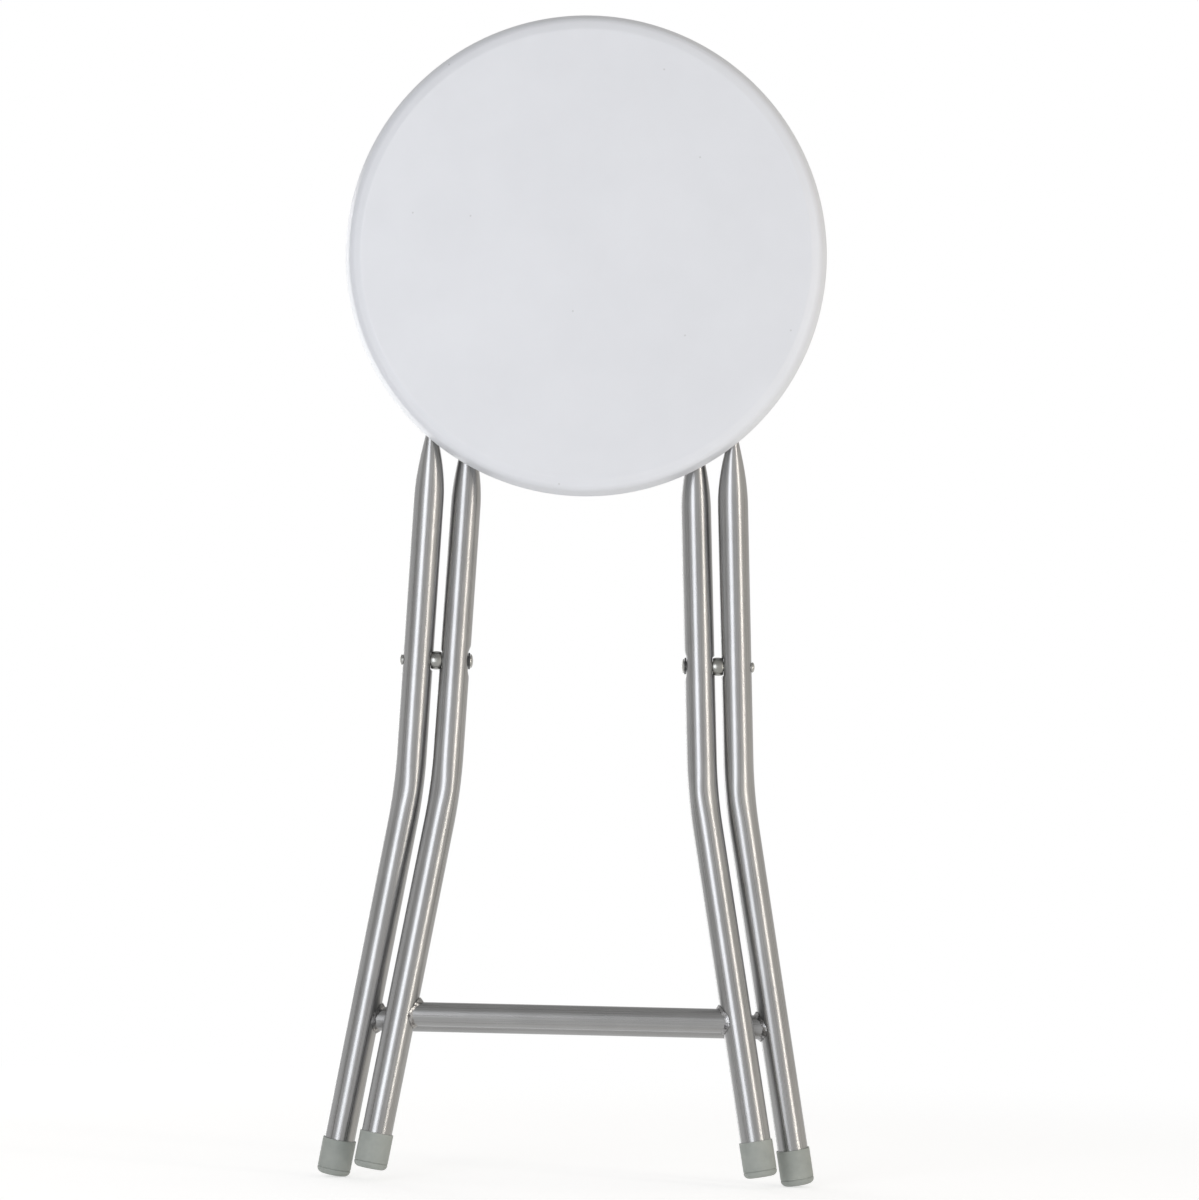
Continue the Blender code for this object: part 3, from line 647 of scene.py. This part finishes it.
def makeWeld(pairName, sideName):
    pair, side = pairs[pairName], sides[sideName]
    r = crossbar["radius"]
    bm = bmesh.new()
    ring = bmesh.ops.create_circle(
        bm, cap_ends=False, segments=weld["section"], radius=weld["circle"],
        matrix=Matrix.Translation((0, 0, r)) @ Matrix.Rotation(math.pi / 2, 4, "X"),
    )
    edges = list({edge for vert in ring["verts"] for edge in vert.link_edges})
    bmesh.ops.spin(
        bm, geom=ring["verts"] + edges, cent=(0, 0, 0), axis=(1, 0, 0),
        angle=2 * math.pi, steps=weld["around"], use_merge=True,
    )
    bmesh.ops.remove_doubles(bm, verts=bm.verts, dist=mergeDistance)
    seed = weld["pairSeed"] * (1 + list(pairs).index(pairName)) + weld["sideSeed"] * side
    for vert in bm.verts:
        turn = math.atan2(vert.co.z, vert.co.y)
        # place on the bead's own circle, from -1 to 1 both ways
        along = vert.co.x / weld["circle"]
        out = (math.hypot(vert.co.y, vert.co.z) - r) / weld["circle"]
        lump = ringNoise(turn, weld["lumpScale"], seed)
        fine = ringNoise(turn, weld["fineScale"], seed + weld["fineRun"] * along)
        ripple = math.sin(weld["ripples"] * turn + along)
        grow = 1 + weld["lump"] * (lump + weld["fine"] * fine) + weld["ripple"] * ripple
        run = -weld["root"] * along ** 2
        climb = -weld["root"] * out ** 2
        if along > 0:
            run = grow * weldSize("Run", turn) * along ** 2
        if out > 0:
            climb = grow * weldSize("Climb", turn) * out ** weld["climbPower"]
        radius = r + climb
        y, z = radius * math.cos(turn), radius * math.sin(turn) - pair["barDrop"]
        x = saddleX(pair, min(max(y, -leg["tube"]), leg["tube"]), z) - run
        vert.co = (side * x, y, z)
    bm.transform(pair["place"])
    makePiece(pairName + "Weld" + sideName.capitalize(), bm, weldMetal, pair["body"])


for pairName in pairs:
    makeCrossbar(pairName)
    for sideName in sides:
        makeWeld(pairName, sideName)
print("crossbars and welds made")

# Foot caps: pushed over the tube, with a parting groove near the tread
footCap = {
    "radius": 0.01045, "length": 0.0225, "floor": 0.003, "bore": 0.0098,
    "treadRound": 0.0034, "lipRound": 0.0004,
    "grooveAt": 0.0040, "grooveHalf": 0.0004, "grooveDepth": 0.0004, "steps": 64,
}


def makeFootCap(pairName, sideName):
    pair, side, c = pairs[pairName], sides[sideName], footCap
    bm = turnProfile([
        (0.0, c["floor"], 0),
        (c["bore"], c["floor"], 0),
        (c["bore"], c["length"], 0),
        (c["radius"], c["length"], c["lipRound"]),
        (c["radius"], c["grooveAt"] + c["grooveHalf"], 0),
        (c["radius"] - c["grooveDepth"], c["grooveAt"], 0),
        (c["radius"], c["grooveAt"] - c["grooveHalf"], 0),
        (c["radius"], 0.0, c["treadRound"]),
        (0.0, 0.0, 0),
    ], c["steps"])
    tip = Matrix.Translation((side * legLowX(pair, pair["down"]), 0, -pair["down"]))
    bm.transform(pair["place"] @ tip @ Matrix.Rotation(-side * leg["lowerSplay"], 4, "Y"))
    name = pairName + "Foot" + sideName.capitalize()
    makePiece(name, bm, greyPvc, pair["body"], pairName + "_foot_" + sideName)


for pairName in pairs:
    for sideName in sides:
        makeFootCap(pairName, sideName)
print("foot caps made")

# Small turned parts on the pivots: each keeps the box of its CAD node and gets its edges rounded
turnedPart = {
    "pinRadius": 0.003, "pinBore": 0.0032, "washerRound": 0.0003, "washerTrim": 0.0008,
    "spacerTaper": 0.0006, "spacerEdge": 0.0003, "spacerShoulder": 0.0016, "shoulderRound": 0.0012,
    "domeSteps": 7, "steps": 48,
}
rivets = {
    "pivot": {
        "headRadius": 0.0045, "headHeight": 0.0035, "headRise": 0.0017,
        "endRadius": 0.0033, "endHeight": 0.0015,
    },
    "hinge": {
        "headRadius": 0.0055, "headHeight": 0.003, "headRise": 0.003,
        "endRadius": 0.0055, "endHeight": 0.003,
    },
}


def outwards(side, at):
    return Matrix.Translation((0, at.y, at.z)) @ Matrix.Rotation(side * math.pi / 2, 4, "Y")


def spanOf(node, side):
    low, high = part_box(node)
    near, far = sorted((side * low.x, side * high.x))
    return near, far, (high.z - low.z) / 2, (low + high) / 2


def domePoints(radius, base, height):
    turns = spread(0.0, math.pi / 2, turnedPart["domeSteps"])
    points = [(radius * math.cos(turn), base + height * math.sin(turn), 0) for turn in turns]
    return points + [(0.0, base + height, 0)]


def makeWasher(name, node, body, side):
    near, far, radius, at = spanOf(node, side)
    bore, edge = turnedPart["pinBore"], turnedPart["washerRound"]
    rim = radius - turnedPart["washerTrim"]
    bm = turnProfile([
        (bore, near, 0), (rim, near, edge), (rim, far, edge), (bore, far, 0),
    ], turnedPart["steps"])
    bm.transform(outwards(side, at))
    makePiece(name, bm, blackNylon, body, node)


def makeSpacer(name, node, side):
    near, far, radius, at = spanOf(node, side)
    bore, edge = turnedPart["pinBore"], turnedPart["spacerEdge"]
    shoulder, soft = turnedPart["spacerShoulder"], turnedPart["shoulderRound"]
    rim = radius - turnedPart["spacerTaper"]
    bm = turnProfile([
        (bore, near, 0), (rim, near, edge), (radius, near + shoulder, soft),
        (radius, far - shoulder, soft), (rim, far, edge), (bore, far, 0),
    ], turnedPart["steps"])
    bm.transform(outwards(side, at))
    # the spacer takes the zinc copy with painted shade
    makePiece(name, bm, dullZinc, "pivot", node)


def makeRivet(name, node, body, side, rivet):
    near, far, _, at = spanOf(node, side)
    pin = turnedPart["pinRadius"]
    headBase, endBase = near + rivet["headHeight"], far - rivet["endHeight"]
    # the head is a dome turned over, so that it points towards the middle of the stool
    dome = domePoints(rivet["headRadius"], headBase, rivet["headRise"])
    points = [(radius, 2 * headBase - height, rounding) for radius, height, rounding in reversed(dome)]
    points += [(pin, headBase, 0), (pin, endBase, 0)]
    points += domePoints(rivet["endRadius"], endBase, rivet["endHeight"])
    bm = turnProfile(points, turnedPart["steps"])
    bm.transform(outwards(side, at))
    makePiece(name, bm, brightZinc, body, node)


for sideName, side in sides.items():
    label = sideName.capitalize()
    makeWasher("pivotWasher" + label, "pivot_washer_" + sideName, "pivot", side)
    makeSpacer("pivotSpacer" + label, "pivot_spacer_" + sideName, side)
    makeRivet("pivotRivet" + label, "pivot_rivet_" + sideName, "pivot", side, rivets["pivot"])
    makeWasher("hingeWasher" + label, "hinge_washer_" + sideName, "seat", side)
    makeRivet("hingeRivet" + label, "hinge_rivet_" + sideName, "seat", side, rivets["hinge"])
print("pivots and hinges made")

# Latch rod and its collars
latch = {"endRound": 0.0012, "collarRound": 0.0006, "collarBore": 0.0043, "steps": 48}


def makeLatchRod():
    low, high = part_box("latch_rod")
    radius, half, edge = (high.z - low.z) / 2, (high.x - low.x) / 2, latch["endRound"]
    bm = turnProfile([
        (0.0, -half, 0), (radius, -half, edge), (radius, half, edge), (0.0, half, 0),
    ], latch["steps"])
    bm.transform(outwards(1, (low + high) / 2))
    makePiece("latchRod", bm, brightZinc, "inner_legs", "latch_rod")
    for sideName, side in sides.items():
        name, node = "rodCollar" + sideName.capitalize(), "rod_collar_" + sideName
        near, far, radius, at = spanOf(node, side)
        bore, edge = latch["collarBore"], latch["collarRound"]
        bm = turnProfile([
            (bore, near, 0), (radius, near, edge), (radius, far, edge), (bore, far, 0),
        ], latch["steps"])
        bm.transform(outwards(side, at))
        makePiece(name, bm, brightZinc, "inner_legs", node)


makeLatchRod()
print("latch rod made")

# Seat rails: a pressed channel with rounded bends, cut for the hinge pin, the screws and the latch rod
rail = {
    "inside": 0.073378, "outside": 0.091342, "back": -0.015223, "edge": 0.007898, "sheet": 0.002,
    "low": -0.0155, "high": 0.1905, "outerBend": 0.0030, "innerBend": 0.0010, "lip": 0.0004, "bendSteps": 5,
    "notchAt": (0.0, 0.175), "notchHalf": 0.0046, "notchSlant": math.radians(29.9), "notchSteps": 48,
    "notchDraw": 0.02, "notchSide": 0.02, "notchSlack": 1e-5,
    "pinHole": 0.0032, "pinSteps": 32, "screwHole": 0.0022, "screwSteps": 24, "holeDepth": 0.008,
    "screwSpacing": 0.055, "screwMiddle": 0.0875,
}


def topVerts(grown):
    return [item for item in grown["geom"] if isinstance(item, bmesh.types.BMVert)]


def makeRail(sideName):
    side, s = sides[sideName], rail
    inside, outside, back, edge, sheet = s["inside"], s["outside"], s["back"], s["edge"], s["sheet"]
    corners = [
        (inside, edge, s["lip"]), (inside, back, s["outerBend"]),
        (outside, back, s["outerBend"]), (outside, edge, s["lip"]),
        (outside - sheet, edge, s["lip"]), (outside - sheet, back + sheet, s["innerBend"]),
        (inside + sheet, back + sheet, s["innerBend"]), (inside + sheet, edge, s["lip"]),
    ]
    bm = bmesh.new()
    verts = [bm.verts.new((side * x, y, s["low"])) for x, y, rounding in corners]
    bm.faces.new(verts)
    for vert, (x, y, rounding) in zip(verts, corners):
        bmesh.ops.bevel(
            bm, geom=[vert], offset=rounding, offset_type="OFFSET", segments=s["bendSteps"],
            profile=0.5, affect="VERTICES", material=-1,
        )
    grown = bmesh.ops.extrude_face_region(bm, geom=bm.faces[:])
    bmesh.ops.translate(bm, verts=topVerts(grown), vec=(0, 0, s["high"] - s["low"]))
    bm.transform(seatPlace)
    name = "seatRail" + sideName.capitalize()
    piece = makePiece(name, bm, pressedSheet, "seat", "seat_rail_" + sideName)

    middle = (inside + outside) / 2
    cutter = bmesh.new()
    across = Matrix.Rotation(math.pi / 2, 4, "Y")
    bmesh.ops.create_cone(
        cutter, cap_ends=True, segments=s["pinSteps"], radius1=s["pinHole"], radius2=s["pinHole"],
        depth=s["holeDepth"],
        matrix=seatPlace @ Matrix.Translation((side * (outside - sheet / 2), 0, 0)) @ across,
    )
    for step in (-1, 0, 1):
        height = s["screwMiddle"] + step * s["screwSpacing"]
        spot = Matrix.Translation((side * middle, back + sheet / 2, height))
        bmesh.ops.create_cone(
            cutter, cap_ends=True, segments=s["screwSteps"], radius1=s["screwHole"], radius2=s["screwHole"],
            depth=s["holeDepth"],
            matrix=seatPlace @ spot @ Matrix.Rotation(math.pi / 2, 4, "X"),
        )
    # the notch: a round seat for the rod, drawn out to the rail's edge along the way that the rod comes in
    disc = bmesh.ops.create_circle(
        cutter, cap_ends=True, segments=s["notchSteps"], radius=s["notchHalf"],
        matrix=Matrix.Translation((side * middle - s["notchSide"], *s["notchAt"])) @ across,
    )["verts"]
    way = Vector((0, math.cos(s["notchSlant"]), -math.sin(s["notchSlant"])))
    for vert in disc:
        if (vert.co - Vector((vert.co.x, *s["notchAt"]))).dot(way) > s["notchSlack"]:
            vert.co += way * s["notchDraw"]
    moved = topVerts(bmesh.ops.extrude_face_region(cutter, geom=[disc[0].link_faces[0]]))
    bmesh.ops.translate(cutter, verts=moved, vec=(2 * s["notchSide"], 0, 0))
    bmesh.ops.transform(cutter, matrix=seatPlace, verts=list(set(disc) | set(moved)))
    cutAway(piece, cutter)


# Rail screws: pan head with a cross recess
screw = {
    "headRadius": 0.004, "headHeight": 0.0022, "shank": 0.0018, "length": 0.014, "tipRound": 0.0004,
    "recess": 0.0042, "recessWidth": 0.0009, "recessDepth": 0.0013, "recessTaper": 0.7,
    "firstTurn": 0.4, "nextTurn": 0.9, "steps": 40,
}


def makeScrew(node, turn):
    s = screw
    low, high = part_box(node)
    centre = (low + high) / 2
    tip = seatPlace.inverted() @ centre
    total = s["length"] + s["headHeight"]
    seatY = tip.y - total / 2 + s["length"]
    points = [(0.0, -s["length"], 0), (s["shank"], -s["length"], s["tipRound"]), (s["shank"], 0.0, 0)]
    points += domePoints(s["headRadius"], 0.0, s["headHeight"])
    bm = turnProfile(points, s["steps"])
    place = seatPlace @ Matrix.Translation((tip.x, seatY, tip.z)) @ Matrix.Rotation(-math.pi / 2, 4, "X")
    bm.transform(place)
    name = "".join(word.capitalize() for word in node.split("_"))
    piece = makePiece(name[0].lower() + name[1:], bm, brightZinc, "seat", node)

    # the recess: four arms drawn out of a small block, narrower at the bottom
    cutter = bmesh.new()
    block = Matrix.Diagonal((s["recessWidth"], s["recessWidth"], 2 * s["recessDepth"], 1.0))
    bmesh.ops.create_cube(cutter, size=1.0, matrix=block)
    cutter.normal_update()
    walls = [face for face in cutter.faces if abs(face.normal.z) < 0.5]
    for arm in bmesh.ops.extrude_discrete_faces(cutter, faces=walls)["faces"]:
        reach = (s["recess"] - s["recessWidth"]) / 2
        bmesh.ops.translate(cutter, verts=arm.verts, vec=arm.normal * reach)
    bottom = [vert for vert in cutter.verts if vert.co.z < 0]
    bmesh.ops.scale(cutter, vec=(s["recessTaper"], s["recessTaper"], 1.0), verts=bottom)
    spot = Matrix.Translation((0, 0, s["headHeight"])) @ Matrix.Rotation(turn, 4, "Z")
    bmesh.ops.transform(cutter, matrix=place @ spot, verts=cutter.verts)
    cutAway(piece, cutter)


screwTurn = screw["firstTurn"]
for sideName in sides:
    makeRail(sideName)
    for index in (1, 2, 3):
        makeScrew("rail_screw_%s_%d" % (sideName, index), screwTurn)
        screwTurn += screw["nextTurn"]
print("rails and screws made")

# Camera: the photograph's view, a long lens a little below the seat
camera = {
    "distance": 3.0, "pitch": math.radians(2.5), "roll": math.radians(1.3), "sensor": 36.0,
    "scale": 1596.0, "pivotX": 579.1, "pivotY": 664.0, "frame": 1200,
}


def makeCamera():
    c = camera
    data = bpy.data.cameras.new("camera")
    data.sensor_width = c["sensor"]
    data.lens = c["sensor"] * c["distance"] * c["scale"] / c["frame"]
    view = bpy.data.objects.new("camera", data)
    bpy.context.scene.collection.objects.link(view)
    pitch = c["pitch"]
    forward = Vector((0, math.cos(pitch), math.sin(pitch)))
    up = Vector((0, -math.sin(pitch), math.cos(pitch)))
    middle = c["frame"] / 2
    # the pivot comes out at pivotX and pivotY, in pixels of the frame
    aside = Vector((1, 0, 0)) * (middle - c["pivotX"]) / c["scale"]
    above = up * (c["pivotY"] - middle) / c["scale"]
    aim = pivotAt + aside + above
    turn = Matrix.Rotation(math.pi / 2 + pitch, 4, "X") @ Matrix.Rotation(c["roll"], 4, "Z")
    view.matrix_world = Matrix.Translation(aim - forward * c["distance"]) @ turn
    bpy.context.scene.camera = view


makeCamera()

# Stage: turns in degrees from the front, lengths in metres, grain in millimetres
stage = {
    "aimHeight": 0.36, "floorSize": 14.0, "grain": 3.0, "grainDetail": 2.0,
    # the paper's glow for rays other than the camera's is painted light on the stool from below
    "paperLight": 0.58, "paperGlow": 0.20, "roomLight": 0.96,
    "shadowShare": 0.8, "shadowNear": 0.5, "shadowFar": 1.3,
}
greyCard = {"turn": -68.0, "away": 1.7, "width": 0.7, "height": 1.6, "grain": 40.0, "grainDetail": 3.0}
softBoxes = {
    "keyBox": {"turn": -23.0, "away": 1.8, "width": 0.72, "height": 1.3, "light": 3.5, "colour": "#f6f9ff"},
    "rimBox": {"turn": 52.0, "away": 1.7, "width": 0.20, "height": 1.3, "light": 8.4, "colour": "#fff8ee"},
    "backBox": {"turn": -152.0, "away": 1.9, "width": 0.8, "height": 1.3, "light": 1.7, "colour": "#ffffff"},
}


def standing(turn, away):
    # upright on a circle round the stool, turned to face it
    angle = math.radians(turn)
    spot = Vector((math.sin(angle) * away, -math.cos(angle) * away, stage["aimHeight"]))
    way = Vector((0, 0, stage["aimHeight"])) - spot
    return Matrix.Translation(spot) @ way.to_track_quat("-Z", "Y").to_matrix().to_4x4()


def layMatte(material, sheet, stops):
    # a matte surface with a faint grain; gives back what other nodes link to
    surface = material.node_tree.nodes["Principled BSDF"]
    place = addNode(material, "ShaderNodeTexCoord")
    fibre = addNode(material, "ShaderNodeTexNoise", {}, {
        "Vector": place.outputs["Object"], "Scale": perMetre(sheet["grain"]), "Detail": sheet["grainDetail"],
    })
    tone = addNode(material, "ShaderNodeValToRGB", {}, {"Fac": fibre.outputs["Fac"]}, stops)
    material.node_tree.links.new(tone.outputs["Color"], surface.inputs["Base Color"])
    surface.inputs["Roughness"].default_value = 0.9
    return place, surface


def makeSheet(name, size, place, material):
    bm = bmesh.new()
    bmesh.ops.create_grid(bm, x_segments=1, y_segments=1, size=size / 2)
    bm.transform(place)
    mesh = bpy.data.meshes.new(name)
    bm.to_mesh(mesh)
    bm.free()
    mesh.materials.append(material)
    sheet = bpy.data.objects.new(name, mesh)
    bpy.context.scene.collection.objects.link(sheet)
    return sheet


# White paper floor: it keeps the stool's soft shadow close by and runs out into the white background.
def makeFloor():
    s = stage
    paper = newMaterial("whitePaper")
    place, surface = layMatte(paper, s, [(0.3, "#f3f3f3"), (0.7, "#f6f6f6")])
    path = addNode(paper, "ShaderNodeLightPath")
    seen = addNode(paper, "ShaderNodeMath", {"operation": "MAXIMUM"}, {
        0: path.outputs["Is Camera Ray"], 1: path.outputs["Is Glossy Ray"],
    })
    anySeen = addNode(paper, "ShaderNodeMath", {"operation": "MAXIMUM"}, {
        0: seen.outputs["Value"], 1: path.outputs["Is Transmission Ray"],
    })
    # close to the stool the paper keeps its shadow, further off it is as white as the background
    away = addNode(paper, "ShaderNodeVectorMath", {"operation": "LENGTH"}, {0: place.outputs["Object"]})
    keep = addNode(paper, "ShaderNodeMapRange", {"interpolation_type": "SMOOTHSTEP"}, {
        "Value": away.outputs["Value"], "From Min": s["shadowNear"], "From Max": s["shadowFar"],
        "To Min": s["shadowShare"], "To Max": 0.0,
    })
    lose = addNode(paper, "ShaderNodeMath", {"operation": "SUBTRACT"}, {0: 1.0, 1: keep.outputs["Result"]})
    fade = addNode(paper, "ShaderNodeMath", {"operation": "MULTIPLY"}, {
        0: anySeen.outputs["Value"], 1: lose.outputs["Value"],
    })
    lift = addNode(paper, "ShaderNodeMath", {"operation": "MULTIPLY_ADD"}, {
        0: keep.outputs["Result"], 1: -s["paperLight"], 2: 1.0,
    })
    # the paper also glows a little for all other rays: painted light that lights the stool's undersides from
    # below
    shine = addNode(paper, "ShaderNodeMapRange", {}, {
        "Value": anySeen.outputs["Value"], "To Min": s["paperGlow"], "To Max": lift.outputs["Value"],
    })
    glow = addNode(paper, "ShaderNodeEmission", {}, {
        "Color": linear("#ffffff"), "Strength": shine.outputs["Result"],
    })
    dim = addNode(paper, "ShaderNodeMixShader", {}, {
        "Fac": fade.outputs["Value"], 1: surface.outputs["BSDF"],
    })
    both = addNode(paper, "ShaderNodeAddShader", {}, {
        0: dim.outputs["Shader"], 1: glow.outputs["Emission"],
    })
    output = paper.node_tree.nodes["Material Output"]
    paper.node_tree.links.new(both.outputs["Shader"], output.inputs["Surface"])
    floor = makeSheet("floor", s["floorSize"], Matrix.Identity(4), paper)
    floor.visible_glossy = False


# Grey felt card on the left: only reflections show it, as the darker band along the tubes.
def makeGreyCard():
    c = greyCard
    felt = newMaterial("greyCard")
    layMatte(felt, c, [(0.3, "#c1c1c1"), (0.7, "#c7c7c7")])
    place = standing(c["turn"], c["away"]) @ Matrix.Diagonal((c["width"], c["height"], 1, 1))
    card = makeSheet("greyCard", 1.0, place, felt)
    card.visible_camera = False
    card.visible_shadow = False


# Soft boxes: the wide key gives the left highlight on the tubes and the narrow rim the right one.
# The third lights the back.
def makeSoftBox(name, box):
    data = bpy.data.lights.new(name, "AREA")
    data.shape = "RECTANGLE"
    data.size, data.size_y = box["width"], box["height"]
    data.energy = box["light"] * math.pi * data.size * data.size_y
    data.color = linear(box["colour"])[:3]
    lamp = bpy.data.objects.new(name, data)
    bpy.context.scene.collection.objects.link(lamp)
    lamp.matrix_world = standing(box["turn"], box["away"])
    lamp.visible_camera = False


# Room: darker overhead, whitest behind on the left, a little warm on the right; the camera sees white.
def makeRoom():
    world = bpy.data.worlds.new("room")
    bpy.context.scene.world = world
    world.use_nodes = True
    world.node_tree.nodes.clear()
    path = addNode(world, "ShaderNodeLightPath")
    place = addNode(world, "ShaderNodeTexCoord")
    way = addNode(world, "ShaderNodeSeparateXYZ", {}, {"Vector": place.outputs["Generated"]})
    rise = addNode(world, "ShaderNodeMapRange", {}, {"Value": way.outputs["Z"], "From Min": -1.0})
    dim = addNode(world, "ShaderNodeValToRGB", {}, {"Fac": rise.outputs["Result"]}, [
        (0.25, "#ffffff"), (0.50, "#f6f6f6"), (0.70, "#d6d6d6"), (0.90, "#b9b9b9"),
    ])
    turn = addNode(world, "ShaderNodeTexGradient", {"gradient_type": "RADIAL"}, {
        "Vector": place.outputs["Generated"],
    })
    walls = addNode(world, "ShaderNodeValToRGB", {}, {"Fac": turn.outputs["Fac"]}, [
        (0.00, "#fdfdfd"), (0.10, "#eaeaea"), (0.25, "#efefef"), (0.42, "#f8f4ee"),
        (0.52, "#fffaf1"), (0.66, "#fbf9f5"), (0.76, "#f6f6f6"), (0.90, "#ffffff"),
    ])
    tint = addNode(world, "ShaderNodeMix", {"data_type": "RGBA", "blend_type": "MULTIPLY"}, {
        "Factor": 1.0, 6: dim.outputs["Color"], 7: walls.outputs["Color"],
    })
    light = addNode(world, "ShaderNodeMapRange", {}, {
        "Value": path.outputs["Is Glossy Ray"], "To Min": stage["roomLight"],
    })
    room = addNode(world, "ShaderNodeBackground", {}, {
        "Color": tint.outputs[2], "Strength": light.outputs["Result"],
    })
    white = addNode(world, "ShaderNodeBackground", {}, {"Color": linear("#ffffff"), "Strength": 1.0})
    seen = addNode(world, "ShaderNodeMath", {"operation": "MAXIMUM"}, {
        0: path.outputs["Is Camera Ray"], 1: path.outputs["Is Transmission Ray"],
    })
    mix = addNode(world, "ShaderNodeMixShader", {}, {
        "Fac": seen.outputs["Value"], 1: room.outputs["Background"], 2: white.outputs["Background"],
    })
    addNode(world, "ShaderNodeOutputWorld", {}, {"Surface": mix.outputs["Shader"]})


makeFloor()
makeGreyCard()
for boxName, box in softBoxes.items():
    makeSoftBox(boxName, box)
makeRoom()
bpy.context.scene.view_settings.view_transform = "Standard"
print("camera and stage ready")
